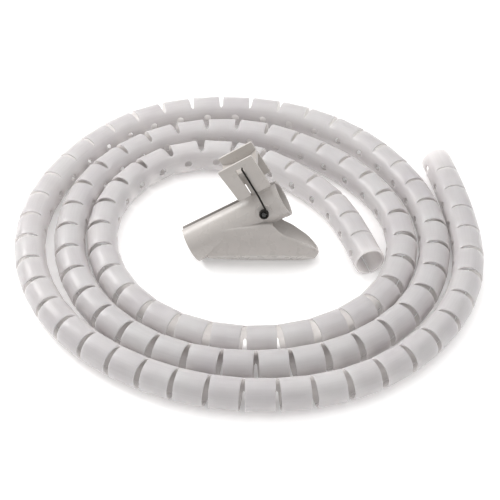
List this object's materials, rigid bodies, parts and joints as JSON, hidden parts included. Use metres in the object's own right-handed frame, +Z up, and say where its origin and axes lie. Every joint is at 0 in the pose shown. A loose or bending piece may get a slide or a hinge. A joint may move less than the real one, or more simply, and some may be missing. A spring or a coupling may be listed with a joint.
{
  "type": "coiled slotted cable tube with loading tool",
  "caption": "Loose coil of flexible slotted cable tube lying flat, with its hand loading tool, a slotted barrel with a sprung clamp lever and a scooped shoe, standing inside the coil.",
  "frame": {"origin": "on the floor, under the middle of the coil's bounding box", "axes": "+Z up, square to the plane of the coil; +X towards the open side of the tube's inner end; the loading tool's nose points along +X"},
  "size_m": [0.3022, 0.2921, 0.0775],
  "materials": {
    "tube_plastic": "satin off-white polypropylene with faint lengthways streaks",
    "tool_plastic": "satin warm grey moulded plastic",
    "lever_plastic": "satin warm grey moulded plastic",
    "pin_steel": "dark oiled steel",
    "spring_wire": "black oiled spring wire"
  },
  "bodies": {
    "tube": {"slotted_tube": "tube_plastic"},
    "tool": {"tool_body": "tool_plastic", "front_pivot_pin": "pin_steel", "rear_pivot_pin": "pin_steel"},
    "lever": {"clamp_lever": "lever_plastic", "torsion_spring": "spring_wire"}
  },
  "joints": [
    {"name": "tool_lift", "type": "slide", "parent": "tube", "child": "tool", "axis": [0, 0, 1], "range_m": [0, 0.06]},
    {"name": "lever_swing", "type": "hinge", "parent": "tool", "child": "lever", "pos_m": [0.01, 0.00361, 0.03728], "axis": [0, -0.9511, 0.309], "range_deg": [0, 28], "stiffness_Nm_per_rad": 0.02, "springref_deg": -28.65, "deforming": ["torsion_spring"]}
  ]
}
